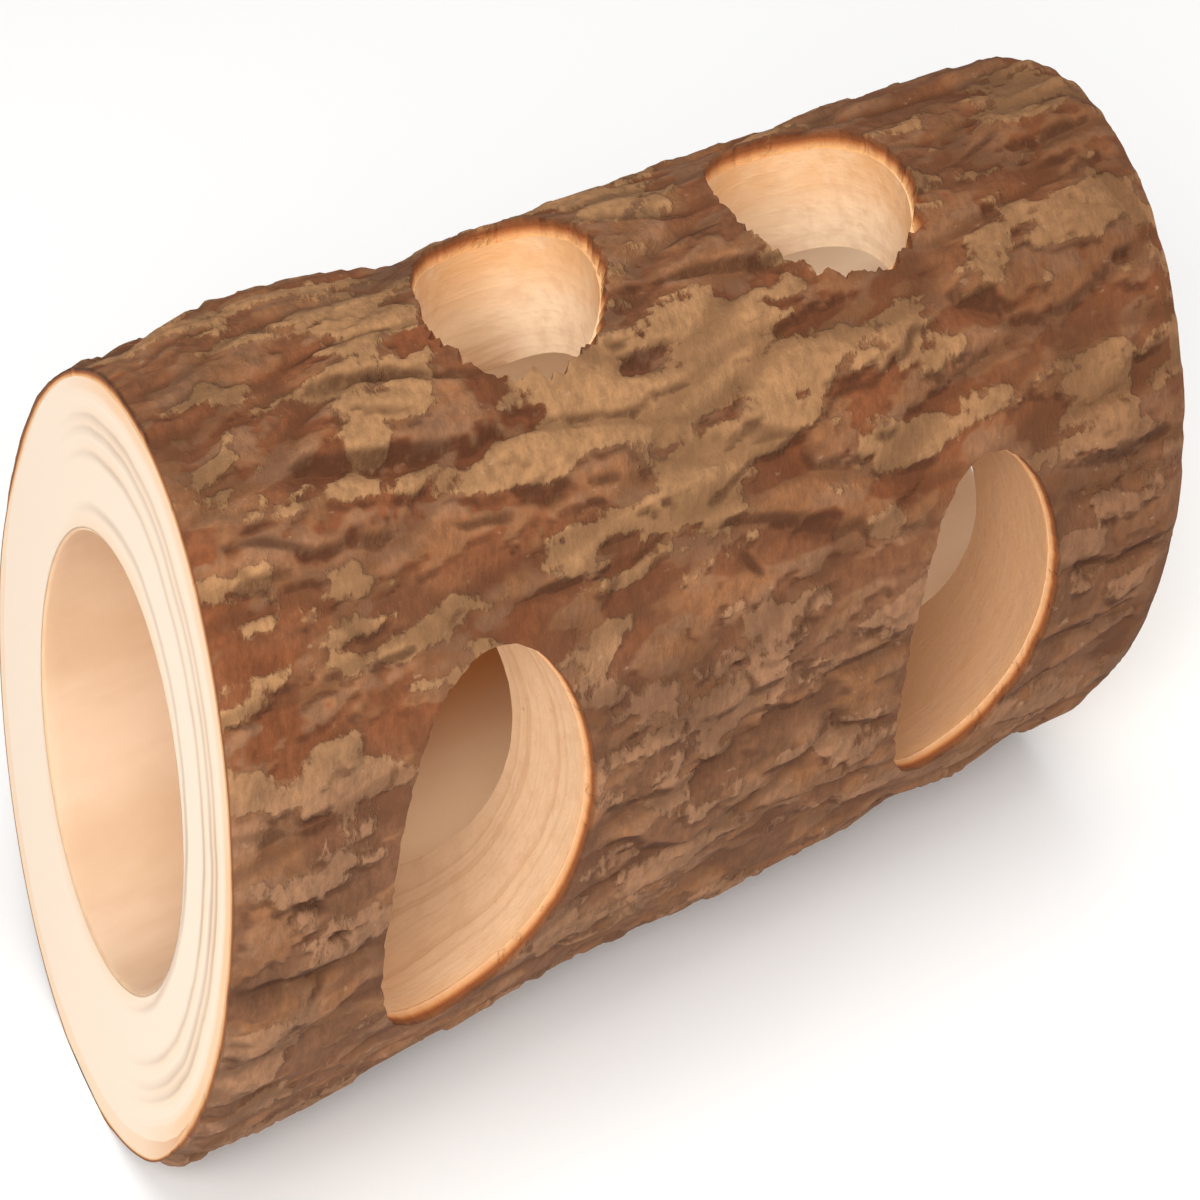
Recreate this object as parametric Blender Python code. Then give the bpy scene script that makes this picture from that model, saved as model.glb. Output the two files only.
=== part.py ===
# A short tunnel log: one length of a young trunk, bored out from end to end,
# with two openings drilled in its top and two in its side. Metres, +Z up.
# The log lies along X, thick end at -X, on a small flat under its bark.
import math

import bmesh
import bpy
from mathutils import Matrix, Vector, noise

# Driving dimensions of the log
WOOD_RADIUS = 0.038      # mean radius of the wood under the bark, at the thick end
BARK = 0.0024            # mean thickness of the bark
LENGTH = 0.1195          # between the two saw cuts, along the axis
TAPER = 0.90             # radius at the thin end over radius at the thick end
OVAL = 1.10              # height over width of the trunk
OVAL_LEAN = math.radians(7.3)   # the tall way of the oval leans to the open side
CUT_ACROSS = 0.208       # both saw cuts run this far along the log for each metre across it
CUT_UP = 0.146           # and this far for each metre up
BORE_RADIUS = 0.0229     # the tunnel through the middle, at the thick end
BORE_TAPER = 0.90        # the tunnel narrows towards the thin end as the trunk does
FLAT_DEPTH = 0.0011      # taken off the underside, where the log lies

# Openings, each drilled square to the axis through one wall, into the bore:
# place along the axis, turn from the top to the open side, half width along the
# axis, half width round the log, and how far the opening slants along the axis
OPENINGS = {
    "drill_top_near": (0.0501, math.radians(-2), 0.0103, 0.0138, 0.319),
    "drill_top_far": (0.0876, math.radians(0), 0.0105, 0.0133, 0.111),
    "drill_side_near": (0.0224, math.radians(86.9), 0.0120, 0.0212, 0.196),
    "drill_side_far": (0.0852, math.radians(86.5), 0.0100, 0.0187, 0.184),
}

# Where the trunk swells or narrows: share of the length, reach in it, turn round the
# axis, reach in it, and how far
SWELLS = (
    (0.0, 0.07, math.radians(65), math.radians(80), -0.0017),    # worn edge of the thick end
    (0.0, 0.35, math.radians(228), math.radians(60), 0.0013),
    (0.30, 0.14, math.radians(47), math.radians(50), -0.0010),
    (1.0, 0.12, math.radians(95), math.radians(60), 0.0009),
)

# Relief of the bark: long plates with furrows between them, on a lumpy trunk
PLATE_LENGTH = 0.036
PLATE_WIDTH = 0.0098
PLATE_STEP = 0.0013      # how much one plate may stand over its neighbour
FURROW_DEPTH = 0.0010
FURROW_EDGE = 0.30       # share of a plate that slopes into the furrow
WAVER = 0.32             # how far the furrows wander, in plates
WAVER_SIZE = 0.018
LUMP = 0.0006
LUMP_SIZE = 0.032
THIN_BARK = 0.0007       # what the deepest furrow leaves over the wood
RUBBED = (0.007, 0.014)  # the relief fades out this near the line that the log lies on

# Fineness of the mesh
AROUND = 92
ALONG = 46
BORE_SIDES = 56
DRILL_SIDES = 40


def clear_scene():
    for thing in list(bpy.data.objects):
        bpy.data.objects.remove(thing, do_unlink=True)


def material(name, colour, roughness):
    made = bpy.data.materials.new(name)
    made.use_nodes = True
    shader = made.node_tree.nodes["Principled BSDF"]
    shader.inputs["Base Color"].default_value = (*colour, 1.0)
    shader.inputs["Roughness"].default_value = roughness
    shader.inputs["Metallic"].default_value = 0.0
    return made


def add_object(name, bm, materials, parent):
    mesh = bpy.data.meshes.new(name)
    bm.to_mesh(mesh)
    bm.free()
    for made in materials:
        mesh.materials.append(made)
    thing = bpy.data.objects.new(name, mesh)
    thing.parent = parent
    bpy.context.scene.collection.objects.link(thing)
    return thing


def smooth_step(low, high, value):
    share = min(max((value - low) / (high - low), 0.0), 1.0)
    return share * share * (3.0 - 2.0 * share)


def swell(share, turn):
    total = 0.0
    for middle, reach, facing, spread, amount in SWELLS:
        aside = abs((turn - facing + math.pi) % (2 * math.pi) - math.pi)
        near = smooth_step(0.0, 1.0, 1.0 - abs(share - middle) / reach)
        total += amount * near * smooth_step(0.0, 1.0, 1.0 - aside / spread)
    return total


def bark_relief(share, turn):
    # Height of the bark over its mean face, at a place on that face
    place = trunk_point(share, turn, WOOD_RADIUS + BARK)
    waver = noise.noise_vector(place / WAVER_SIZE) * WAVER
    plate = Vector((place.x / PLATE_LENGTH, place.y / PLATE_WIDTH, place.z / PLATE_WIDTH)) + waver
    distances, centres = noise.voronoi(plate)
    inside = smooth_step(0.0, FURROW_EDGE, distances[1] - distances[0])
    step = PLATE_STEP * noise.noise(centres[0] * 3.7)
    lump = LUMP * noise.noise(place / LUMP_SIZE) + swell(share, turn)
    height = max(lump + step * inside - FURROW_DEPTH * (1.0 - inside), THIN_BARK - BARK)
    if place.z < 0:
        height *= smooth_step(*RUBBED, abs(place.y))
    return height


def trunk_point(share, turn, radius):
    # A point of the trunk: share of the length, turn round the axis, radius at the thick end
    narrow = radius * (1.0 + (TAPER - 1.0) * share)
    wide = narrow * math.cos(turn) / math.sqrt(OVAL)
    tall = narrow * math.sin(turn) * math.sqrt(OVAL)
    across = wide * math.cos(OVAL_LEAN) - tall * math.sin(OVAL_LEAN)
    up = wide * math.sin(OVAL_LEAN) + tall * math.cos(OVAL_LEAN)
    return Vector((share * LENGTH + CUT_ACROSS * across + CUT_UP * up, across, up))


# The trunk: a cylinder divided along its length, then shaped point by point
def make_trunk(parent, bark, wood):
    bm = bmesh.new()
    bmesh.ops.create_cone(bm, cap_ends=True, segments=AROUND, radius1=1.0, radius2=1.0,
                          depth=1.0, matrix=Matrix.Rotation(math.radians(90), 4, "Y"))
    long_edges = [e for e in bm.edges if abs(e.verts[0].co.x - e.verts[1].co.x) > 0.5]
    bmesh.ops.subdivide_edges(bm, edges=long_edges, cuts=ALONG - 1, use_grid_fill=True)
    for vert in bm.verts:
        share = vert.co.x + 0.5
        turn = math.atan2(vert.co.z, vert.co.y)
        vert.co = trunk_point(share, turn, WOOD_RADIUS + BARK + bark_relief(share, turn))
    for face in bm.faces:
        face.smooth = True
    # The saw cuts: bark round the rim, wood inside it
    ends = [f for f in bm.faces if len(f.verts) > 4]
    for face in ends:
        face.material_index = 0
        bmesh.ops.inset_individual(bm, faces=[face], thickness=BARK, use_even_offset=True)
        face.material_index = 1
    bmesh.ops.recalc_face_normals(bm, faces=bm.faces)
    trunk = add_object("log", bm, [bark, wood], parent)
    trunk.data.set_sharp_from_angle(angle=math.radians(50))
    return trunk


def cut(trunk, cutter):
    cutter.hide_render = True
    cutter.display_type = "WIRE"
    taken = trunk.modifiers.new(cutter.name, "BOOLEAN")
    taken.operation = "DIFFERENCE"
    taken.solver = "EXACT"
    taken.object = cutter


# The tunnel starts in the middle of the thick end and runs level through the log
def make_bore(parent, dip, wood):
    bm = bmesh.new()
    spare = LENGTH / 4
    narrowing = BORE_RADIUS * (1.0 - BORE_TAPER) / LENGTH
    place = Matrix.Rotation(math.radians(90) - dip, 4, "Y") @ Matrix.Translation((0, 0, LENGTH / 2))
    bmesh.ops.create_cone(bm, cap_ends=True, segments=BORE_SIDES, depth=LENGTH + 2 * spare,
                          radius1=BORE_RADIUS + narrowing * spare,
                          radius2=BORE_RADIUS - narrowing * (LENGTH + spare), matrix=place)
    return add_object("bore", bm, [wood], parent)


# An opening is an oval drilling from the axis out through one wall
def make_drill(name, parent, wood):
    along, turn, half_along, half_round, slant = OPENINGS[name]
    outward = Vector((0, -math.sin(turn), math.cos(turn)))
    sideways = Vector((0, math.cos(turn), math.sin(turn)))
    reach = 1.5 * WOOD_RADIUS
    columns = (Vector((half_along, 0, 0)), half_round * (sideways + Vector((slant, 0, 0))),
               outward * reach)
    shape = Matrix([[c[row] for c in columns] for row in range(3)]).to_4x4()
    place = Matrix.Translation(Vector((along, 0, 0)) + outward * reach / 2) @ shape
    bm = bmesh.new()
    bmesh.ops.create_cone(bm, cap_ends=True, segments=DRILL_SIDES, radius1=1.0, radius2=1.0,
                          depth=1.0, matrix=place)
    bmesh.ops.recalc_face_normals(bm, faces=bm.faces)
    return add_object(name, bm, [wood], parent)


# The flat under the log, level with the ground
def make_underside(bark):
    bm = bmesh.new()
    deep = 0.02
    place = Matrix.Translation((0, 0, -deep / 2)) @ Matrix.Diagonal((LENGTH * 2, 0.1, deep, 1))
    bmesh.ops.create_cube(bm, size=1.0, matrix=place)
    return add_object("underside", bm, [bark], None)


# How far the middle of the log's outline lies from the origin, along X and Y
def off_centre(trunk):
    bpy.context.view_layer.update()
    seen = trunk.evaluated_get(bpy.context.evaluated_depsgraph_get())
    corners = [seen.matrix_world @ vert.co for vert in seen.data.vertices]
    return [(min(c[i] for c in corners) + max(c[i] for c in corners)) / 2 for i in (0, 1)]


def build():
    clear_scene()
    bark = material("bark", (0.225, 0.105, 0.055), 0.85)
    wood = material("wood", (0.80, 0.62, 0.40), 0.65)
    # The underside narrows towards the thin end, so the axis dips by as much
    dip = math.atan((WOOD_RADIUS + BARK) * math.sqrt(OVAL) * (1.0 - TAPER) / LENGTH)
    axis_height = (WOOD_RADIUS + BARK) * math.sqrt(OVAL) - FLAT_DEPTH
    lay = bpy.data.objects.new("lay", None)
    bpy.context.scene.collection.objects.link(lay)
    lay.rotation_euler = (0, dip, 0)
    lay.location = (-LENGTH / 2, 0, axis_height)
    trunk = make_trunk(lay, bark, wood)
    cut(trunk, make_bore(lay, dip, wood))
    for name in OPENINGS:
        cut(trunk, make_drill(name, lay, wood))
    cut(trunk, make_underside(bark))
    # The outline's middle goes over the origin
    aside = off_centre(trunk)
    lay.location.x -= aside[0]
    lay.location.y -= aside[1]


build()
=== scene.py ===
import math

import bmesh
import bpy
import numpy as np
from mathutils import Matrix, Vector, noise


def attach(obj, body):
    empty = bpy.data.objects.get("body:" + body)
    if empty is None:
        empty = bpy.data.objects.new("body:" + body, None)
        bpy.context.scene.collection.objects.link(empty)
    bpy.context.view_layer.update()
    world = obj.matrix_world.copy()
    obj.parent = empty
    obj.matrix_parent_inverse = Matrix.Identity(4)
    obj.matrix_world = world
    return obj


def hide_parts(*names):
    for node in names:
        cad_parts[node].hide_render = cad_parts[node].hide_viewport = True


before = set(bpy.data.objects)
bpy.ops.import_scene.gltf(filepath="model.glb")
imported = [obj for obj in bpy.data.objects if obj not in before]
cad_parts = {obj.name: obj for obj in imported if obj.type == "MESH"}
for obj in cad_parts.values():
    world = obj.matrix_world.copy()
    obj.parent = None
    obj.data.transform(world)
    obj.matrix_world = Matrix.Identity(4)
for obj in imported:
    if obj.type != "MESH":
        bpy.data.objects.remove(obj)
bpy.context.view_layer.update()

noise.seed_set(7)      # noise_vector differs from run to run without a seed

# The trunk, as the frame holds it: thick end at -X, side openings towards -Y
trunk = {
    "woodRadius": 0.038,     # under the bark, at the thick end
    "bark": 0.0024,
    "length": 0.1195,        # along the axis, between the saw cuts
    "taper": 0.90,
    "oval": 1.10,
    "ovalLean": math.radians(7.3),
    "cutAcross": 0.208,      # slant of both saw cuts
    "cutUp": 0.146,
    "bore": 0.0229,          # at the thick end; it narrows with the trunk, and runs level
    "start": Vector((-0.0589, 0.00027, 0.04127)),    # thick end of the axis
    "dip": math.radians(2.03),                       # the axis dips towards the thin end
}
lay = Matrix.Translation(trunk["start"]) @ Matrix.Rotation(trunk["dip"], 4, "Y")

# Openings: place along the axis, turn from the top, half widths along and round, slant
openings = {
    "topNear": (0.0501, math.radians(-2), 0.0103, 0.0138, 0.319),
    "topFar": (0.0876, math.radians(0), 0.0105, 0.0133, 0.111),
    "sideNear": (0.0224, math.radians(86.9), 0.0120, 0.0212, 0.196),
    "sideFar": (0.0852, math.radians(86.5), 0.0100, 0.0187, 0.184),
}

# Where the trunk swells or narrows: share of the length, reach in it, turn, reach, how far
swells = {
    "wornEdge": (0.0, 0.07, math.radians(65), math.radians(80), -0.0017),
    "nearBelly": (0.0, 0.35, math.radians(228), math.radians(60), 0.0013),
    "waist": (0.30, 0.14, math.radians(47), math.radians(50), -0.0010),
    "farCrown": (1.0, 0.12, math.radians(95), math.radians(60), 0.0009),
}


def smoothStep(low, high, value):
    share = np.clip((value - low) / (high - low), 0.0, 1.0)
    return share * share * (3.0 - 2.0 * share)


def trunkPoint(share, turn, radius):
    narrow = radius * (1.0 + (trunk["taper"] - 1.0) * share)
    wide = narrow * math.cos(turn) / math.sqrt(trunk["oval"])
    tall = narrow * math.sin(turn) * math.sqrt(trunk["oval"])
    c, s = math.cos(trunk["ovalLean"]), math.sin(trunk["ovalLean"])
    across, up = wide * c - tall * s, wide * s + tall * c
    slant = trunk["cutAcross"] * across + trunk["cutUp"] * up
    return Vector((share * trunk["length"] + slant, across, up))


# Where points in the log's own frame lie: share of the length, turn, radius at the thick end
def trunkPlaces(points):
    slant = trunk["cutAcross"] * points[:, 1] + trunk["cutUp"] * points[:, 2]
    share = (points[:, 0] - slant) / trunk["length"]
    c, s = math.cos(trunk["ovalLean"]), math.sin(trunk["ovalLean"])
    wide = (points[:, 1] * c + points[:, 2] * s) * math.sqrt(trunk["oval"])
    tall = (points[:, 2] * c - points[:, 1] * s) / math.sqrt(trunk["oval"])
    radius = np.hypot(wide, tall) / (1.0 + (trunk["taper"] - 1.0) * share)
    return share, np.arctan2(tall, wide), radius


def borePoint(share, turn):
    radius = trunk["bore"] * (1.0 + (trunk["taper"] - 1.0) * share)
    rise = math.tan(trunk["dip"])
    across, up = radius * math.cos(turn), radius * math.sin(turn)
    along = share * trunk["length"] + trunk["cutAcross"] * across + trunk["cutUp"] * up
    along /= 1.0 - trunk["cutUp"] * rise
    return Vector((along, across, up + along * rise))


# How far points stand off the bore's wall
def offBore(points, share):
    up = points[:, 2] - points[:, 0] * math.tan(trunk["dip"])
    return np.hypot(points[:, 1], up) - trunk["bore"] * (1.0 + (trunk["taper"] - 1.0) * share)


def meshPoints(mesh):
    points = np.empty(len(mesh.vertices) * 3)
    mesh.vertices.foreach_get("co", points)
    return points.reshape(-1, 3)


def storeValues(mesh, name, values):
    layer = mesh.attributes.new(name, "FLOAT", "POINT")
    layer.data.foreach_set("value", np.asarray(values, dtype=np.float32))


def makeObject(name, bm, materials):
    mesh = bpy.data.meshes.new(name)
    bm.to_mesh(mesh)
    bm.free()
    for material in materials:
        mesh.materials.append(material)
    thing = bpy.data.objects.new(name, mesh)
    bpy.context.scene.collection.objects.link(thing)
    return thing


# Cutters are taken away once the cut is made
def cutWith(thing, cutters):
    for cutter in cutters:
        cut = thing.modifiers.new(cutter.name, "BOOLEAN")
        cut.operation = "DIFFERENCE"
        cut.solver = "MANIFOLD"
        cut.object = cutter
    bpy.context.view_layer.update()
    seen = thing.evaluated_get(bpy.context.evaluated_depsgraph_get())
    whole = bpy.data.meshes.new_from_object(seen)
    thing.modifiers.clear()
    thing.data = whole
    for cutter in cutters:
        bpy.data.objects.remove(cutter, do_unlink=True)


# Camera and light
view = {
    "stand": Vector((-0.1473, -0.3038, 0.2756)),   # from the thick end of the axis
    "turn": math.radians(34.4),
    "down": math.radians(37.35),
    "lens": 127.2,
    "sensor": 36.0,
}


def addCamera():
    data = bpy.data.cameras.new("camera")
    data.lens = view["lens"]
    data.sensor_width = view["sensor"]
    data.clip_start = 0.01
    camera = bpy.data.objects.new("camera", data)
    bpy.context.scene.collection.objects.link(camera)
    turned = Matrix.Rotation(-view["turn"], 4, "Z") @ Matrix.Rotation(math.pi / 2 - view["down"], 4, "X")
    camera.matrix_world = lay @ Matrix.Translation(view["stand"]) @ turned
    bpy.context.scene.camera = camera
    bpy.context.scene.view_settings.view_transform = "Standard"


studio = {
    "floorSize": 6.0,
    "floorColour": (0.96, 0.96, 0.96),
    "world": (1.0, 1.0, 1.0),
    "worldStrength": 0.40,
    "lights": {      # place, aim, size, power, colour
        "key": ((-0.38, -0.40, 0.44), (0, 0, 0.04), 0.40, 3.9, (1.0, 0.985, 0.96)),
        "top": ((0.05, 0.00, 0.95), (0, 0, 0.04), 0.90, 4.4, (1.0, 0.99, 0.97)),
        "fill": ((0.60, -0.75, 0.35), (0, 0, 0.04), 0.70, 2.0, (0.96, 0.98, 1.0)),
    },
}


def addStudio():
    bm = bmesh.new()
    bmesh.ops.create_grid(bm, x_segments=1, y_segments=1, size=studio["floorSize"] / 2)
    floor = makeObject("floor", bm, [plainMaterial("floorPaint", studio["floorColour"], 0.6)])
    world = bpy.data.worlds.new("studio")
    world.use_nodes = True
    world.node_tree.nodes["Background"].inputs["Color"].default_value = (*studio["world"], 1.0)
    world.node_tree.nodes["Background"].inputs["Strength"].default_value = studio["worldStrength"]
    bpy.context.scene.world = world
    for name, (place, aim, size, power, colour) in studio["lights"].items():
        data = bpy.data.lights.new(name, "AREA")
        data.size = size
        data.energy = power
        data.color = colour
        lamp = bpy.data.objects.new(name, data)
        bpy.context.scene.collection.objects.link(lamp)
        lamp.location = place
        lamp.rotation_euler = (Vector(aim) - Vector(place)).to_track_quat("-Z", "Y").to_euler()


# Node helpers
def tint(red, green, blue):      # screen colour, 0 to 255, as the shader's linear colour
    return tuple((part / 255) ** 2.2 for part in (red, green, blue)) + (1.0,)


def plainMaterial(name, colour, roughness):
    material = bpy.data.materials.new(name)
    material.use_nodes = True
    shader = material.node_tree.nodes["Principled BSDF"]
    shader.inputs["Base Color"].default_value = (*colour, 1.0)
    shader.inputs["Roughness"].default_value = roughness
    return material


class Nodes:
    def __init__(self, name):
        self.material = bpy.data.materials.new(name)
        self.material.use_nodes = True
        self.tree = self.material.node_tree
        self.shader = self.tree.nodes["Principled BSDF"]
        self.place = self.add("ShaderNodeTexCoord").outputs["Object"]

    def add(self, kind, **values):
        node = self.tree.nodes.new(kind)
        for key, value in values.items():
            setattr(node, key, value)
        return node

    def put(self, socket, value):
        if isinstance(value, bpy.types.NodeSocket):
            self.tree.links.new(value, socket)
        else:
            socket.default_value = value

    def value(self, name):
        return self.add("ShaderNodeAttribute", attribute_name=name).outputs["Fac"]

    def math(self, operation, first, second=0.0):
        node = self.add("ShaderNodeMath", operation=operation)
        self.put(node.inputs[0], first)
        self.put(node.inputs[1], second)
        return node.outputs[0]

    def stretched(self, scale, source):
        node = self.add("ShaderNodeMapping")
        self.put(node.inputs["Vector"], source)
        self.put(node.inputs["Scale"], scale)
        return node.outputs[0]

    def noise(self, scale, detail=3.0, roughness=0.55, stretch=None, source=None):
        node = self.add("ShaderNodeTexNoise")
        place = source or self.place
        self.put(node.inputs["Vector"], self.stretched(stretch, place) if stretch else place)
        node.inputs["Scale"].default_value = scale
        node.inputs["Detail"].default_value = detail
        node.inputs["Roughness"].default_value = roughness
        return node.outputs["Fac"]

    def along(self, value):
        node = self.add("ShaderNodeCombineXYZ")
        self.put(node.inputs[0], value)
        return node.outputs[0]

    def ramp(self, value, stops):
        node = self.add("ShaderNodeValToRGB")
        ramp = node.color_ramp.elements
        while len(ramp) < len(stops):
            ramp.new(0.5)
        for element, (place, colour) in zip(ramp, stops):
            element.position = place
            element.color = colour
        self.put(node.inputs[0], value)
        return node.outputs[0]

    def range(self, value, low, high, to=(0.0, 1.0)):
        node = self.add("ShaderNodeMapRange", interpolation_type="SMOOTHSTEP")
        for socket, number in zip(node.inputs[:5], (value, low, high, *to)):
            self.put(socket, number)
        return node.outputs[0]

    def mix(self, share, first, second, blend="MIX"):
        node = self.add("ShaderNodeMix", data_type="RGBA", blend_type=blend)
        self.put(node.inputs[0], share)
        self.put(node.inputs[6], first)
        self.put(node.inputs[7], second)
        return node.outputs[2]

    def bump(self, height, distance, strength=1.0, under=None):
        node = self.add("ShaderNodeBump")
        self.put(node.inputs["Height"], height)
        node.inputs["Distance"].default_value = distance
        node.inputs["Strength"].default_value = strength
        if under:
            self.put(node.inputs["Normal"], under)
        return node.outputs[0]


# Bark: long plates with furrows between them, and thin scales in layers on the plates
barkRelief = {
    "plateLength": 0.036, "plateWidth": 0.0098, "plateStep": 0.0013,
    "furrowDepth": 0.0010, "furrowEdge": 0.30,
    "waver": 0.32, "waverSize": 0.018,
    "lump": 0.0006, "lumpSize": 0.032,
    "thin": 0.0007, "rubbed": (0.007, 0.014),
    "scaleLength": 0.0125, "scaleWidth": 0.0055,
    "underLength": 0.0090, "underWidth": 0.0042,
    "top": 0.24, "under": 0.02, "topRise": 0.00045, "underRise": 0.00035,   # field values and rises
    "layerEdge": 0.05,
    "drip": 0.43,                                  # how the torn edges lean along the log
    "toothLength": 0.0009, "toothWidth": 0.0024, "tooth": 0.17,
    "grain": 0.00016, "grainLength": 0.0035, "grainWidth": 0.0007,
    "creaseDepth": 0.0005, "creaseWidth": 0.0006, "creaseWaver": 0.0016, "creaseWaverSize": 0.0040,
    "creaseBreak": 0.0050, "breaks": (-0.35, 0.15),
    "stepShift": 3.7, "toothFiner": (0.5, 2.2),    # share and size of the second, finer noise
    "topNoise": (0.75, 2.1, 4), "underNoise": (0.7, 2.2, 4),
    "sawnEdge": (0.0024, 0.0009),                  # reach and depth of the worn corner at a cut
    "calm": 0.75, "calmReach": 0.0045,             # relief is lower beside a cut or an opening
    "apart": Vector((7.3, 2.1, 5.7)),              # shifts the lower scales against the upper ones
    "cavity": 0.0009, "cavityDeep": 0.0006,        # how far up the slope the shade looks, and full shade
}
barkMap = {"along": 260, "around": 560}
barkMesh = {
    "along": 200, "around": 400, "through": 4, "inside": 14,
    "finest": math.radians(140), "gather": 0.35,   # where the faces are smallest, and how much so
    "thinnest": 0.0004,                            # least bark over the wood
    "roof": (35, 50), "below": (35, 75),           # degrees from the top
    # far: where the painted shade towards the thin end begins and where it is full
    "far": (0.45, 1.0),                            # shares of the length
}

# Large scales: middle along the axis and turn from the top, half length and half width
# in degrees, lean in degrees for each millimetre, and how whole the top layer is there
largeScales = {
    "crown": (0.0560, 19, 0.0135, 12.5, -0.25, 0.52),
    "crownTail": (0.0450, 24, 0.0070, 8.0, 0.0, 0.30),
    "ribbon": (0.0670, 32, 0.0255, 5.0, -0.36, 0.50),
    "ribbonEnd": (0.0455, 46, 0.0120, 3.0, -0.50, 0.34),
    "farPatch": (0.1020, 21, 0.0095, 9.0, 0.0, 0.50),
    "farRibbon": (0.1140, 13, 0.0085, 4.5, -1.0, 0.50),
    "farBit": (0.1120, 31, 0.0040, 5.0, 0.0, 0.32),
    "nearPatch": (0.0185, 39, 0.0100, 7.0, 0.0, 0.48),
    "nearTongue": (0.0320, 24, 0.0100, 5.0, 0.2, 0.50),
    "nearArm": (0.0255, 10, 0.0090, 4.5, -1.1, 0.50),
    "nearTop": (0.0255, -7, 0.0065, 6.0, 0.0, 0.36),
    "bitOne": (0.0068, 5, 0.0018, 4.0, -1.5, 0.50),
    "bitTwo": (0.0098, 12, 0.0018, 2.2, 0.0, 0.46),
    "bitThree": (0.0048, 14, 0.0018, 2.0, 0.0, 0.42),
    "middleBit": (0.0400, 41, 0.0040, 5.0, 0.0, 0.34),
    "farTop": (0.1060, -10, 0.0085, 5.5, 0.5, 0.34),
    "lowGrey": (0.0480, 67, 0.0060, 8.0, 0.0, 0.20),
    "lowGreyTwo": (0.0555, 76, 0.0060, 6.0, 0.0, 0.20),
    "lowStrip": (0.0110, 57, 0.0110, 5.5, 0.0, 0.24),
    "lowLoop": (0.0125, 80, 0.0050, 6.5, 0.0, 0.24),
    "lowFar": (0.1080, 54, 0.0080, 8.0, 0.0, 0.18),
    "redTop": (0.0100, 8, 0.0090, 9.0, 0.0, -0.30),
    "redMiddle": (0.0180, 27, 0.0100, 4.0, 0.0, -0.32),
    "redFar": (0.0990, 37, 0.0110, 4.5, 0.0, -0.30),
    "redSaddle": (0.0600, 0, 0.0080, 5.0, 0.0, -0.30),
    "redLow": (0.0640, 52, 0.0120, 8.0, -0.5, -0.22),
    "redEnd": (0.1150, 42, 0.0050, 9.0, 0.0, -0.25),
}

# Long cracks, as points along the axis and turns from the top
cracks = {
    "underTongue": ((0.004, 23), (0.016, 28), (0.030, 31), (0.047, 32)),
    "underCrown": ((0.050, 34), (0.058, 31), (0.071, 20)),
    "underRibbon": ((0.040, 52), (0.054, 41), (0.070, 37), (0.088, 28)),
    "underPatch": ((0.000, 45), (0.013, 47), (0.028, 43)),
    "split": ((0.0595, 51), (0.0600, 60), (0.0608, 73)),
    "splitArm": ((0.0560, 47), (0.0625, 55)),
    "longLow": ((0.048, 83), (0.062, 83), (0.078, 87)),
    "slantLow": ((0.063, 68), (0.074, 59), (0.085, 50)),
    "loop": ((0.0045, 79), (0.0070, 73), (0.0120, 76), (0.0128, 84), (0.0095, 90)),
    "nearLow": ((0.000, 62), (0.010, 64), (0.018, 61)),
    "farTopLine": ((0.088, 8), (0.098, -2), (0.112, -4)),
}


def swellAt(share, turn):
    total = np.zeros(np.broadcast(share, turn).shape)
    for middle, reach, facing, spread, amount in swells.values():
        aside = np.abs((turn - facing + math.pi) % (2 * math.pi) - math.pi)
        near = smoothStep(0.0, 1.0, 1.0 - np.abs(share - middle) / reach)
        total += amount * near * smoothStep(0.0, 1.0, 1.0 - aside / spread)
    return total


# How whole the top layer is at each place, from the large scales
def scalePull(along, fromTop):
    pull = np.zeros(along.shape)
    for place, degrees, halfLength, halfWidth, lean, amount in largeScales.values():
        middle = math.radians(degrees) + math.radians(lean) * (along - place) * 1000.0
        gap = (fromTop - middle + math.pi) % (2 * math.pi) - math.pi
        reach = np.hypot((along - place) / halfLength, gap / math.radians(halfWidth))
        pull += amount * (1.0 - smoothStep(0.60, 1.25, reach))
    return pull


# How deep each place lies in a crack, 0 to 1
def crackAt(along, fromTop):
    deep = np.zeros(along.shape)
    arc = fromTop * trunk["woodRadius"]
    for points in cracks.values():
        for (x0, d0), (x1, d1) in zip(points, points[1:]):
            start = np.array([x0, math.radians(d0) * trunk["woodRadius"]])
            way = np.array([x1, math.radians(d1) * trunk["woodRadius"]]) - start
            share = ((along - start[0]) * way[0] + (arc - start[1]) * way[1]) / (way @ way)
            share = np.clip(share, 0, 1)
            gap = np.hypot(along - start[0] - share * way[0], arc - start[1] - share * way[1])
            deep = np.maximum(deep, np.exp(-(gap / barkRelief["creaseWidth"]) ** 2))
    return deep


# A place counted in marks of one length along the log and one width across it
def sized(x, y, z, length, width):
    return Vector((x / length, y / width, z / width))


# How far a place on the bark lies from an opening's rim, below zero inside it
def rimGap(name, place):
    along, turn, halfAlong, halfRound, slant = openings[name]
    if place.z * math.cos(turn) - place.y * math.sin(turn) < 0:
        return 1.0
    b = place.y * math.cos(turn) + place.z * math.sin(turn)
    a = place.x - along - slant * b
    return (math.hypot(a / halfAlong, b / halfRound) - 1.0) * min(halfAlong, halfRound)


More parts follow.
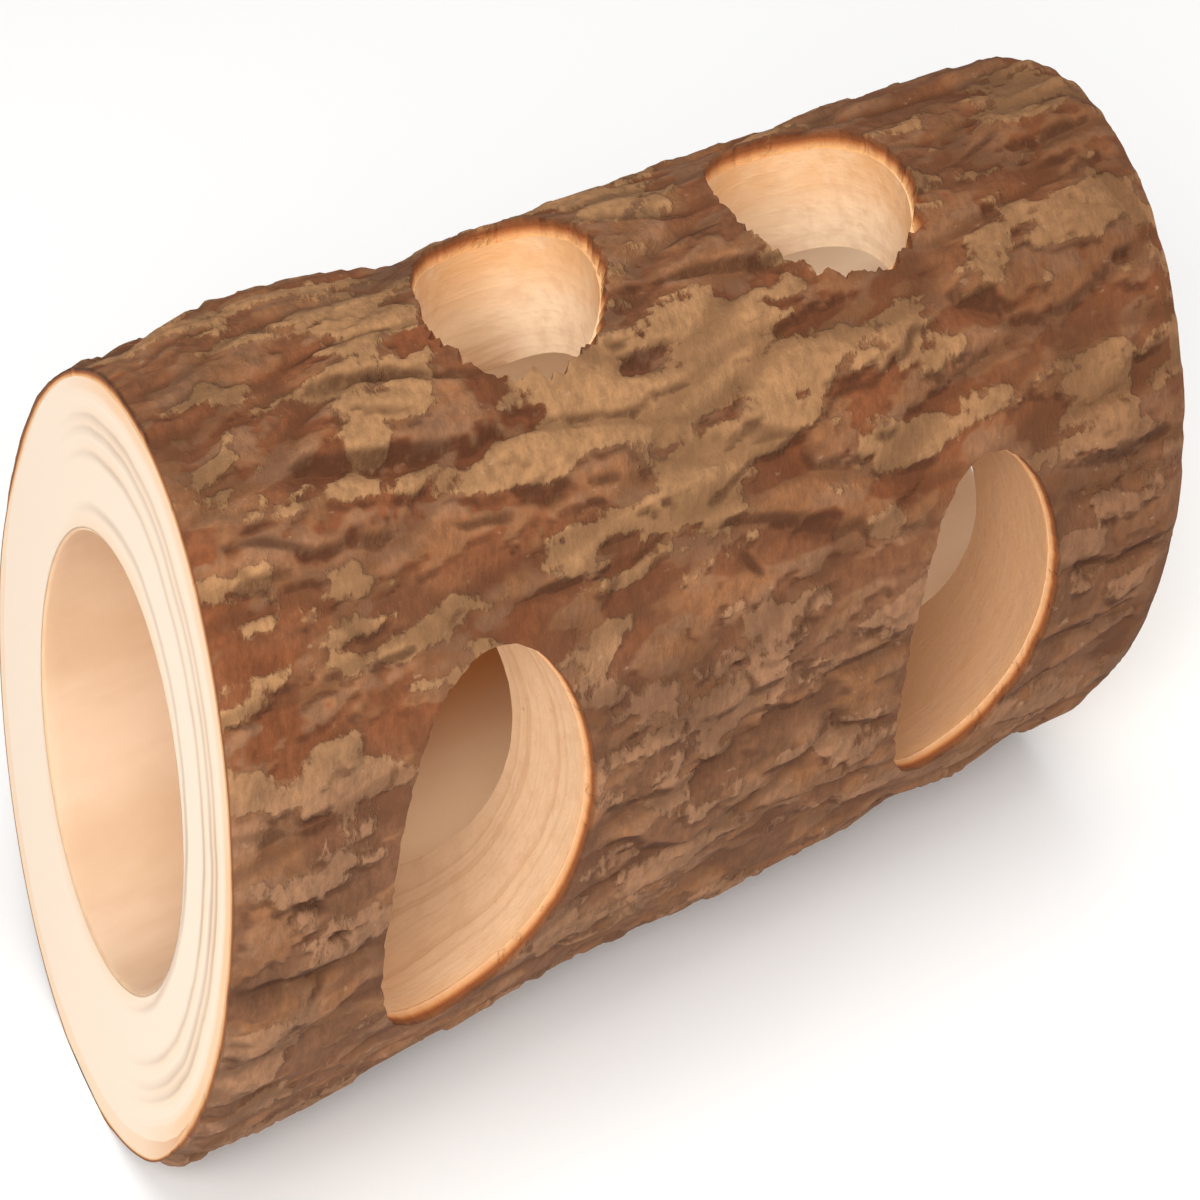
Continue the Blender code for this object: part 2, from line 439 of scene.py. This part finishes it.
# Height of the bark over its mean face and the values that colour it, on a grid of
# the whole bark: rows along the log, columns round it
def mapBark():
    r = barkRelief
    finerShare, finer = r["toothFiner"]
    shares = np.linspace(0, 1, barkMap["along"])
    turns = np.linspace(-math.pi, math.pi, barkMap["around"], endpoint=False)
    share, turn = np.meshgrid(shares, turns, indexing="ij")
    along = share * trunk["length"]
    fromTop = turn - math.pi / 2
    blank = [np.zeros(share.shape) for part in range(8)]
    base, field, under, furrow, waverX, waverY, broken, rims = blank
    for i, row in enumerate(shares):
        for j, column in enumerate(turns):
            place = trunkPoint(row, column, trunk["woodRadius"] + trunk["bark"])
            waver = noise.noise_vector(place / r["waverSize"]) * r["waver"]
            x, y, z = place
            plate = sized(x, y, z, r["plateLength"], r["plateWidth"]) + waver
            distances, centres = noise.voronoi(plate)
            inside = min(max((distances[1] - distances[0]) / r["furrowEdge"], 0.0), 1.0)
            inside = inside * inside * (3.0 - 2.0 * inside)
            height = r["lump"] * noise.noise(place / r["lumpSize"])
            height += r["plateStep"] * noise.noise(centres[0] * r["stepShift"]) * inside
            base[i, j] = height - r["furrowDepth"] * (1.0 - inside)
            furrow[i, j] = 1.0 - inside
            scale = sized(x, y, z, r["scaleLength"], r["scaleWidth"])
            leaning = x - r["drip"] * (y + z)
            tooth = sized(leaning, y, z, r["toothLength"], r["toothWidth"])
            grain = sized(x, y, z, r["grainLength"], r["grainWidth"])
            ragged = r["tooth"] * (noise.noise(tooth) + finerShare * noise.noise(tooth * finer))
            field[i, j] = noise.fractal(scale, *r["topNoise"]) + ragged
            flake = sized(leaning, y, z, r["underLength"], r["underWidth"]) + r["apart"]
            under[i, j] = noise.fractal(flake, *r["underNoise"]) - ragged
            broken[i, j] = noise.noise(place / r["creaseBreak"])
            rims[i, j] = min(rimGap(name, place) for name in openings)
            base[i, j] += r["grain"] * noise.noise(grain)
            bend = noise.noise_vector(place / r["creaseWaverSize"]) * r["creaseWaver"]
            waverX[i, j], waverY[i, j] = bend.x, bend.y
    field += scalePull(along + waverX, fromTop + waverY / trunk["woodRadius"])
    crack = crackAt(along + waverX, fromTop + waverY / trunk["woodRadius"])
    crack *= smoothStep(*r["breaks"], broken)
    height = base + swellAt(share, turn) - r["creaseDepth"] * crack
    for value, level, rise in ((field, r["top"], r["topRise"]), (under, r["under"], r["underRise"])):
        height += rise * (smoothStep(-0.5, 0.5, (value - level) / r["layerEdge"]) - 0.5)
    toCut = np.minimum(along, trunk["length"] - along)
    beside = 1.0 - smoothStep(0.0, r["calmReach"], np.minimum(toCut, np.abs(rims)))
    height *= 1.0 - r["calm"] * beside
    reach, depth = r["sawnEdge"]
    corner = 1.0 - smoothStep(0.0, reach, toCut)
    height -= depth * corner
    height = np.maximum(height, r["thin"] - trunk["bark"])
    across, up = acrossAndUp(share, turn)
    rub = smoothStep(*r["rubbed"], np.abs(across))
    height = np.where(up < 0, height * rub, height)
    # Shade under a scale: how far the bark just up the slope stands over it
    steps = int(round(r["cavity"] / trunk["woodRadius"] / (turns[1] - turns[0])))
    lean = int(round(r["drip"] * r["cavity"] / trunk["length"] * barkMap["along"]))
    upSlope = np.where(fromTop % (2 * math.pi) < math.pi, -1, 1)
    higher, lower = (np.maximum(np.roll(np.roll(height, side * steps, 1), -side * lean, 0),
                                np.roll(height, (side * steps) // 2, 1)) for side in (1, -1))
    shade = np.where(upSlope < 0, higher, lower) - height
    return {"height": height, "scale": field - r["top"], "flake": under - r["under"], "furrow": furrow,
            "crack": crack, "shade": np.clip(shade / r["cavityDeep"], 0, 1)}


def acrossAndUp(share, turn):
    narrow = (trunk["woodRadius"] + trunk["bark"]) * (1.0 + (trunk["taper"] - 1.0) * share)
    wide = narrow * np.cos(turn) / math.sqrt(trunk["oval"])
    tall = narrow * np.sin(turn) * math.sqrt(trunk["oval"])
    c, s = math.cos(trunk["ovalLean"]), math.sin(trunk["ovalLean"])
    return wide * c - tall * s, wide * s + tall * c


# The map's value at any place, by the four places round it
def readMap(values, share, turn):
    rows, columns = values.shape
    row = np.clip(share, 0, 1) * (rows - 1)
    column = (turn + math.pi) / (2 * math.pi) * columns
    i = np.minimum(row.astype(int), rows - 2)
    j = np.floor(column).astype(int)
    u, v = row - i, column - j
    left, right = j % columns, (j + 1) % columns
    near = values[i, left] * (1 - v) + values[i, right] * v
    far = values[i + 1, left] * (1 - v) + values[i + 1, right] * v
    return near * (1 - u) + far * u


# The bark's own cutter at an opening: torn back along the rim that faces the open side
barkRim = {
    "segments": 200, "open": 0.00015, "tearSize": 0.0012,
    "topTear": 0.0026, "sideTear": 0.0003, "topRest": 0.0005, "sideRest": 0.00012,
    "halvings": 22,          # steps in the search for a line's way out
    "rings": 2, "tearFiner": (0.6, 2.3), "tornSide": (-0.1, 0.7), "midTear": (0.55, 0.6),
    "levels": (0.6, 1.2, 4),     # shares of the wood's way out, then of the bark beyond it
}


def drillPoint(name, flat, out, widen):
    along, turn, halfAlong, halfRound, slant = openings[name]
    outward = Vector((0, -math.sin(turn), math.cos(turn)))
    sideways = Vector((0, math.cos(turn), math.sin(turn)))
    a = flat.x * (halfAlong + widen)
    b = flat.y * (halfRound + widen)
    return Vector((along + a + slant * b, 0, 0)) + sideways * b + outward * out


# How far out a drilling's line passes a radius of the trunk
def outTo(name, flat, radius):
    low, high = 0.0, 2.0 * radius
    for step in range(barkRim["halvings"]):
        middle = (low + high) / 2
        point = drillPoint(name, flat, middle, 0.0)
        reached = trunkPlaces(np.array([point]))[2][0]
        low, high = (middle, high) if reached < radius else (low, middle)
    return low


# A plain cylinder of one unit, cut into rings along its height
def ringedCylinder(segments, cuts):
    bm = bmesh.new()
    bmesh.ops.create_cone(bm, cap_ends=True, segments=segments, radius1=1.0, radius2=1.0, depth=1.0)
    tall = [e for e in bm.edges if abs(e.verts[0].co.z - e.verts[1].co.z) > 0.5]
    bmesh.ops.subdivide_edges(bm, edges=tall, cuts=cuts, use_grid_fill=True)
    return bm


def barkCutter(name):
    r = barkRim
    finerShare, finer = r["tearFiner"]
    midLeast, midMore = r["midTear"]
    deep, lip, clear = r["levels"]
    bm = ringedCylinder(r["segments"], r["rings"])
    for vert in bm.verts:
        flat = Vector((vert.co.x, vert.co.y, 0))
        level = round((vert.co.z + 0.5) * (r["rings"] + 1))
        wood = outTo(name, flat, trunk["woodRadius"])
        rim = drillPoint(name, flat, wood, 0.0)
        ragged = noise.noise(rim / r["tearSize"]) + finerShare * noise.noise(rim * finer / r["tearSize"])
        torn = smoothStep(*r["tornSide"], -flat.y if name.startswith("top") else -flat.x)
        kind = name[:-4] if name.endswith("Near") else name[:-3]
        rest = r[kind + "Rest"]
        tear = rest + r[kind + "Tear"] * torn
        widen = r["open"] + max(ragged, 0.0) * rest
        if level >= 2:
            widen += tear * (midLeast + midMore * ragged)
        if level == 3:
            widen += tear
        bark = trunk["bark"]
        out = (wood * deep, wood, wood + bark * lip, wood + bark * clear)[level]
        vert.co = drillPoint(name, flat, out, widen)
    bmesh.ops.recalc_face_normals(bm, faces=bm.faces)
    return makeObject("cut" + name, bm, [])


# A ring of the trunk, spun from its closed outline
def spinTube(outline, steps):
    bm = bmesh.new()
    corners = [bm.verts.new((x, 0, z)) for x, z, cuts in outline]
    edges = [bm.edges.new((corner, after)) for corner, after in zip(corners, corners[1:] + corners[:1])]
    wanted = {cuts: [] for x, z, cuts in outline}
    for edge, (x, z, cuts) in zip(edges, outline):
        wanted[cuts].append(edge)
    for cuts, group in wanted.items():
        bmesh.ops.subdivide_edges(bm, edges=group, cuts=cuts)
    bmesh.ops.spin(bm, geom=bm.verts[:] + bm.edges[:], cent=(0, 0, 0), axis=(1, 0, 0),
                   angle=2 * math.pi, steps=steps, use_merge=True)
    return bm


# The wood stands a little further out below and behind at the thick end
woodFoot = {
    "facing": math.radians(290), "whole": math.radians(58), "none": math.radians(88),
    "out": 0.0018, "length": 0.35,
}


def woodReach(share, turn):
    f = woodFoot
    aside = np.abs((turn - f["facing"] + math.pi) % (2 * math.pi) - math.pi)
    below = 1.0 - smoothStep(f["whole"], f["none"], aside)
    return trunk["woodRadius"] + f["out"] * below * (1.0 - smoothStep(0.0, f["length"], share))


# Smooth share between two angles, given in degrees
def betweenAngles(limits, angle):
    return smoothStep(math.radians(limits[0]), math.radians(limits[1]), angle)


def barkTop(heights, woods):
    return np.maximum(trunk["woodRadius"] + trunk["bark"] + heights, woods + barkMesh["thinnest"])


def makeBark():
    m = barkMesh
    found = mapBark()
    print("bark mapped")
    outline = ((0, 2, m["along"]), (1, 2, m["through"]), (1, 1, m["inside"]), (0, 1, m["through"]))
    bm = spinTube(outline, m["around"])
    verts = list(bm.verts)
    turns = np.array([math.atan2(v.co.z, v.co.y) for v in verts])
    turns -= m["gather"] * np.sin(turns - m["finest"])
    shares = np.array([v.co.x for v in verts])
    depths = np.array([math.hypot(v.co.y, v.co.z) - 1.0 for v in verts])
    heights = readMap(found["height"], shares, turns)
    woods = woodReach(shares, turns)
    tops = barkTop(heights, woods)
    for vert, share, turn, depth, wood, top in zip(verts, shares, turns, depths, woods, tops):
        vert.co = trunkPoint(share, turn, wood + depth * (top - wood))
    bmesh.ops.recalc_face_normals(bm, faces=bm.faces)
    bark = makeObject("bark", bm, [])
    print("bark shaped", len(bark.data.vertices))
    cutWith(bark, [barkCutter(name) for name in openings])
    print("bark cut", len(bark.data.polygons))
    share, turn, radius = trunkPlaces(meshPoints(bark.data))
    for name in ("scale", "flake", "furrow", "crack", "shade"):
        storeValues(bark.data, name, readMap(found[name], share, turn))
    woods = woodReach(share, turn)
    tops = barkTop(readMap(found["height"], share, turn), woods)
    storeValues(bark.data, "depth", np.clip((radius - woods) / (tops - woods), 0, 1))
    fromTop = np.abs((turn - math.pi / 2 + math.pi) % (2 * math.pi) - math.pi)
    # Painted shade: the bark darkens towards the thin end, where less light falls
    storeValues(bark.data, "far", smoothStep(*m["far"], share))
    storeValues(bark.data, "below", betweenAngles(m["below"], fromTop))
    storeValues(bark.data, "roof", 1.0 - betweenAngles(m["roof"], fromTop))
    bark.data.materials.clear()
    bark.data.materials.append(barkMaterial())
    finishPiece(bark)
    return bark


# Turned into the frame, kept over the ground, and made to ride on the log's body
def finishPiece(piece):
    piece.data.transform(lay)
    for vert in piece.data.vertices:
        vert.co.z = max(vert.co.z, 0.0)
    piece.data.validate()      # clears what the cuts leave invalid
    piece.data.shade_smooth()
    piece.data.set_sharp_from_angle(angle=math.radians(60))
    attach(piece, "root")


barkLook = {
    # The first colour is painted shade, for under the scales, in cracks and in furrows
    "creviceShade": tint(66, 40, 26), "red": tint(118, 76, 51), "redder": tint(118, 70, 44),
    "brown": tint(136, 93, 62), "tan": tint(152, 112, 77), "greyTan": tint(137, 100, 74),
    # outer is painted shade, for the bark towards the thin end
    "grey": tint(108, 79, 59), "pale": tint(176, 142, 116), "outer": tint(104, 66, 42),
    "cream": tint(232, 192, 150), "honey": tint(234, 186, 128), "peach": tint(218, 160, 108),
    "inner": tint(182, 116, 70), "rust": tint(136, 82, 50), "roughness": 0.9,
}


def barkMaterial():
    n = Nodes("barkScales")
    c = barkLook
    leaning = n.add("ShaderNodeVectorRotate", rotation_type="AXIS_ANGLE")
    n.put(leaning.inputs["Vector"], n.place)
    leaning.inputs["Axis"].default_value = (0, 1, -1)
    leaning.inputs["Angle"].default_value = math.radians(-24)
    streaks = n.noise(1150, 4, 0.65, stretch=(1, 0.5, 0.5), source=leaning.outputs[0])
    blotches = n.noise(330, 4, stretch=(0.5, 1, 1))
    ragged = n.math("MULTIPLY", n.math("SUBTRACT", streaks, 0.5), 0.75)
    scale = n.range(n.math("ADD", n.value("scale"), ragged), -0.085, 0.095)
    flake = n.range(n.math("SUBTRACT", n.value("flake"), ragged), -0.14, 0.14)
    ground = n.mix(n.range(n.noise(95, 3, stretch=(0.5, 1, 1)), 0.38, 0.62), c["red"], c["redder"])
    ground = n.mix(n.range(n.value("below"), 0.3, 1.0, (0.0, 0.65)), ground, c["grey"])
    middle = n.mix(n.range(blotches, 0.4, 0.62), c["brown"], c["greyTan"])
    high = n.mix(n.range(n.value("below"), 0.1, 0.9), c["tan"], c["greyTan"])
    colour = n.mix(n.math("MULTIPLY", flake, 0.75), ground, middle)
    colour = n.mix(scale, colour, high)
    mottle = n.range(streaks, 0.28, 0.72, (0.80, 1.18))
    colour = n.mix(1.0, colour, mottle, "MULTIPLY")
    cloud = n.range(n.noise(150, 4), 0.36, 0.66, (0.86, 1.12))
    colour = n.mix(1.0, colour, cloud, "MULTIPLY")
    # Painted shade towards the thin end
    colour = n.mix(n.math("MULTIPLY", n.value("far"), 0.32), colour, c["outer"])
    speck = n.range(n.noise(900, 2, stretch=(0.7, 1, 1)), 0.69, 0.76, (0.0, 0.3))
    colour = n.mix(speck, colour, c["pale"])
    # Painted shade: the dark crevice colour under the scales' lower edges, in the cracks and in the
    # furrows
    shade = n.range(n.value("shade"), 0.16, 1.0, (0.0, 0.80))
    deep = n.math("MAXIMUM", shade, n.range(n.value("crack"), 0.15, 0.9, (0.0, 0.75)))
    deep = n.math("MAXIMUM", deep, n.range(n.value("furrow"), 0.45, 1.0, (0.0, 0.40)))
    patched = n.range(streaks, 0.3, 0.55, (0.6, 1.0))
    colour = n.mix(n.math("MULTIPLY", deep, patched), colour, c["creviceShade"])
    roofFace = n.ramp(n.value("depth"), (
        (0.0, c["honey"]), (0.22, c["peach"]), (0.42, c["inner"]), (0.62, c["rust"])))
    sideFace = n.ramp(n.value("depth"), (
        (0.0, c["cream"]), (0.32, c["peach"]), (0.46, c["inner"]), (0.60, c["rust"])))
    cutFace = n.mix(n.value("roof"), sideFace, roofFace)
    colour = n.mix(n.range(n.value("depth"), 0.66, 0.92), cutFace, colour)
    n.put(n.shader.inputs["Base Color"], colour)
    n.shader.inputs["Roughness"].default_value = c["roughness"]
    n.shader.inputs["Specular IOR Level"].default_value = 0.2
    grain = n.bump(streaks, 0.00040, 0.8)
    fine = n.bump(n.noise(2600, 4, 0.65, stretch=(0.5, 1, 1)), 0.00012, 0.7, grain)
    steps = n.math("ADD", n.math("MULTIPLY", scale, 0.6), n.math("MULTIPLY", flake, 0.4))
    n.put(n.shader.inputs["Normal"], n.bump(steps, 0.00030, 0.7, fine))
    return n.material


# Wood: the sawn ends, the bore and the drilled walls
woodMesh = {
    "along": 60, "across": 44, "around": 288, "mouth": 0.0005,
    "mouthAngle": 1.0, "mouthWithin": 0.8,         # sharp edges nearer the axis than this share
    "onBore": 0.00012, "onEnd": 0.0005,            # metres off the bore, share of length off a cut
}
drillMesh = {
    "segments": 128, "rings": 44, "reach": 1.5,    # reach counts in wood radii
    "chatter": 0.00010, "chatterSize": 0.0016, "chatterStretch": 2.5,
}

# Where painted shade darkens the wood, where painted light brightens it, and where its rings show
# clearly: degrees from the top, or metres in the trunk's own frame
woodShade = {
    "roof": (35, 50), "clear": (60, 105), "clearFrom": math.radians(50),
    "deeper": (0.018, 0.034), "shallower": (0.055, 0.085),
    "behind": (-0.016, 0.013), "upper": (-0.008, 0.0), "roofed": (0.006, 0.010),
    "far": (0.045, 0.085),
}


def woodCutter(name):
    d = drillMesh
    bm = ringedCylinder(d["segments"], d["rings"])
    for vert in bm.verts:
        out = (vert.co.z + 0.5) * d["reach"] * trunk["woodRadius"]
        flat = Vector((vert.co.x, vert.co.y, 0))
        rough = noise.noise(drillPoint(name, flat, out * d["chatterStretch"], 0.0) / d["chatterSize"])
        vert.co = drillPoint(name, flat, out, d["chatter"] * rough)
    bmesh.ops.recalc_face_normals(bm, faces=bm.faces)
    return makeObject("drill" + name, bm, [])


def makeWood():
    m = woodMesh
    outline = ((0, 2, m["along"]), (1, 2, m["across"]), (1, 1, m["along"]), (0, 1, m["across"]))
    bm = spinTube(outline, m["around"])
    for vert in bm.verts:
        share = vert.co.x
        turn = math.atan2(vert.co.z, vert.co.y)
        outer = trunkPoint(share, turn, float(woodReach(share, turn)))
        vert.co = borePoint(share, turn).lerp(outer, math.hypot(vert.co.y, vert.co.z) - 1.0)
    bmesh.ops.recalc_face_normals(bm, faces=bm.faces)
    mouths = [e for e in bm.edges if e.calc_face_angle(0) > m["mouthAngle"]
              and math.hypot(e.verts[0].co.y, e.verts[0].co.z) < trunk["woodRadius"] * m["mouthWithin"]]
    bmesh.ops.bevel(bm, geom=mouths, offset=m["mouth"], segments=3, profile=0.5,
                    affect="EDGES", material=-1)
    wood = makeObject("wood", bm, [])
    cutWith(wood, [woodCutter(name) for name in openings])
    print("wood cut", len(wood.data.polygons))
    wood.data.materials.clear()
    for material in (sawnMaterial(), boreMaterial(), drilledMaterial()):
        wood.data.materials.append(material)
    points = meshPoints(wood.data)
    share, turn, radius = trunkPlaces(points)
    storeValues(wood.data, "ring", radius / trunk["woodRadius"])
    fromTop = (turn - math.pi / 2 + math.pi) % (2 * math.pi) - math.pi
    w = woodShade
    # Near the top; the drilled walls there get painted light
    storeValues(wood.data, "roof", 1.0 - betweenAngles(w["roof"], np.abs(fromTop)))
    storeValues(wood.data, "clear", 1.0 - betweenAngles(w["clear"], np.abs(fromTop - w["clearFrom"])))
    # Painted shadow inside the bore: from past the near side opening, weaker towards the thin end, on
    # the back and lower wall
    along, across, up = points.T
    inside = smoothStep(*w["deeper"], along) * (1.0 - 0.5 * smoothStep(*w["shallower"], along))
    behind = smoothStep(*w["behind"], across)
    low = 1.0 - smoothStep(*w["upper"], up)
    storeValues(wood.data, "inside", inside * behind * low)
    # Painted light on the bore: on its upper part, where light falls in through the top openings, and on
    # its lower front part
    roofed = smoothStep(*w["roofed"], up)
    storeValues(wood.data, "lit", inside * np.maximum(roofed, (1.0 - behind) * low))
    # Painted shade on the walls of the far openings
    storeValues(wood.data, "far", smoothStep(*w["far"], along))
    nearBore = offBore(points, share) < m["onBore"]
    atEnd = (np.abs(share) < m["onEnd"]) | (np.abs(share - 1.0) < m["onEnd"])
    for face in wood.data.polygons:
        corners = list(face.vertices)
        if atEnd[corners].all():
            face.material_index = 0
        elif nearBore[corners].all():
            face.material_index = 1
        else:
            face.material_index = 2
    finishPiece(wood)
    return wood


woodLook = {
    "cream": tint(240, 219, 198), "warm": tint(238, 210, 180), "ringGrey": tint(194, 164, 138),
    "peach": tint(236, 190, 146), "orange": tint(206, 136, 82), "honey": tint(228, 168, 104),
    "rust": tint(150, 92, 54), "bore": tint(228, 196, 166), "boreDark": tint(216, 180, 146),
    # deep is a painted shadow colour, for inside the bore and the walls of the far openings
    "deep": tint(150, 95, 48), "drilled": tint(220, 184, 148), "drilledDark": tint(190, 144, 104),
    # roof is a painted light colour, for the lit bore and the walls of the top openings
    "roof": tint(255, 232, 200),
}


# The growth ring at each place: distance from the axis, gently bent
def woodRing(n, wobble):
    wide = n.math("MULTIPLY", n.math("SUBTRACT", n.noise(45, 2), 0.5), wobble)
    fine = n.math("MULTIPLY", n.math("SUBTRACT", n.noise(260, 2), 0.5), wobble * 0.22)
    return n.math("ADD", n.math("ADD", n.value("ring"), wide), fine)


def sawnMaterial():
    n = Nodes("sawnEnd")
    c = woodLook
    ring = woodRing(n, 0.05)
    plain = n.ramp(ring, (
        (0.60, c["warm"]), (0.66, c["cream"]), (1.00, c["cream"]), (1.05, c["warm"])))
    ringed = n.ramp(ring, (
        (0.60, c["warm"]), (0.635, c["cream"]), (0.655, c["ringGrey"]), (0.672, c["cream"]),
        (0.775, c["cream"]), (0.795, c["ringGrey"]), (0.806, c["warm"]), (0.835, c["cream"]),
        (0.860, c["ringGrey"]), (0.872, c["warm"]), (0.895, c["ringGrey"]), (0.905, c["warm"]),
        (0.935, c["cream"]), (0.955, c["warm"]), (0.97, c["peach"]), (1.01, c["peach"]),
        (1.04, c["orange"])))
    faint = n.range(n.noise(38, 2), 0.34, 0.58, (1.0, 0.6))
    colour = n.mix(n.math("MULTIPLY", n.value("clear"), faint), plain, ringed)
    fine = n.math("SINE", n.math("MULTIPLY", ring, 360))
    ripple = n.math("MULTIPLY", n.range(fine, 0.2, 1.0, (0.0, 0.06)), n.value("clear"))
    colour = n.mix(n.math("MULTIPLY", ripple, faint), colour, c["ringGrey"])
    n.put(n.shader.inputs["Base Color"], colour)
    n.shader.inputs["Roughness"].default_value = 0.62
    n.shader.inputs["Specular IOR Level"].default_value = 0.3
    n.put(n.shader.inputs["Normal"], n.bump(n.noise(700, 3, stretch=(1, 0.15, 1.6)), 0.00012, 0.35))
    return n.material


def boreMaterial():
    n = Nodes("boreWall")
    c = woodLook
    cloud = n.range(n.noise(70, 4, stretch=(0.5, 1, 1)), 0.35, 0.65)
    colour = n.mix(cloud, c["bore"], c["boreDark"])
    fibres = n.range(n.noise(600, 3, stretch=(0.08, 1, 1)), 0.5, 0.75, (0.0, 0.25))
    colour = n.mix(fibres, colour, c["boreDark"])
    # Painted shadow inside the bore
    colour = n.mix(n.value("inside"), colour, c["deep"])
    # Painted light where light falls into the bore
    colour = n.mix(n.value("lit"), colour, c["roof"])
    n.put(n.shader.inputs["Base Color"], colour)
    n.shader.inputs["Roughness"].default_value = 0.7
    n.shader.inputs["Specular IOR Level"].default_value = 0.25
    turns = n.noise(300, 3, stretch=(1.2, 0.3, 0.3))
    n.put(n.shader.inputs["Normal"], n.bump(turns, 0.0002, 0.25))
    return n.material


def drilledMaterial():
    n = Nodes("drilledWall")
    c = woodLook
    ring = woodRing(n, 0.09)
    layers = n.noise(26, 5, 0.7, source=n.along(ring))
    # Painted shade on the walls of the far openings
    side = n.mix(n.math("MULTIPLY", n.value("far"), 0.50), c["drilled"], c["deep"])
    # Painted light on the walls of the top openings
    pale = n.mix(n.value("roof"), side, c["roof"])
    strength = n.range(n.value("roof"), 0, 1, (0.55, 0.15))
    layered = n.math("MULTIPLY", n.range(layers, 0.46, 0.66), strength)
    colour = n.mix(layered, pale, c["drilledDark"])
    fibres = n.range(n.noise(500, 4, stretch=(0.16, 1, 1)), 0.42, 0.72)
    colour = n.mix(n.math("MULTIPLY", fibres, 0.24), colour, c["drilledDark"])
    speck = n.range(n.noise(240, 2), 0.73, 0.76)
    colour = n.mix(n.math("MULTIPLY", speck, 0.5), colour, c["rust"])
    edge = n.mix(n.value("roof"), n.range(n.value("ring"), 0.95, 1.02, (0.0, 0.30)),
                 n.range(n.value("ring"), 0.70, 1.0, (0.0, 0.75)))
    patchy = n.range(n.noise(160, 3), 0.30, 0.60, (0.65, 1.0))
    colour = n.mix(n.math("MULTIPLY", edge, patchy), colour, c["honey"])
    n.put(n.shader.inputs["Base Color"], colour)
    n.shader.inputs["Roughness"].default_value = 0.68
    n.shader.inputs["Specular IOR Level"].default_value = 0.25
    grain = n.bump(n.noise(800, 4, stretch=(0.25, 1, 1)), 0.00025, 0.6)
    n.put(n.shader.inputs["Normal"], n.bump(layers, 0.0003, 0.4, grain))
    return n.material


addCamera()
addStudio()
print("studio set")
wood = makeWood()
bark = makeBark()
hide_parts("log")
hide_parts("log")
print("log dressed")
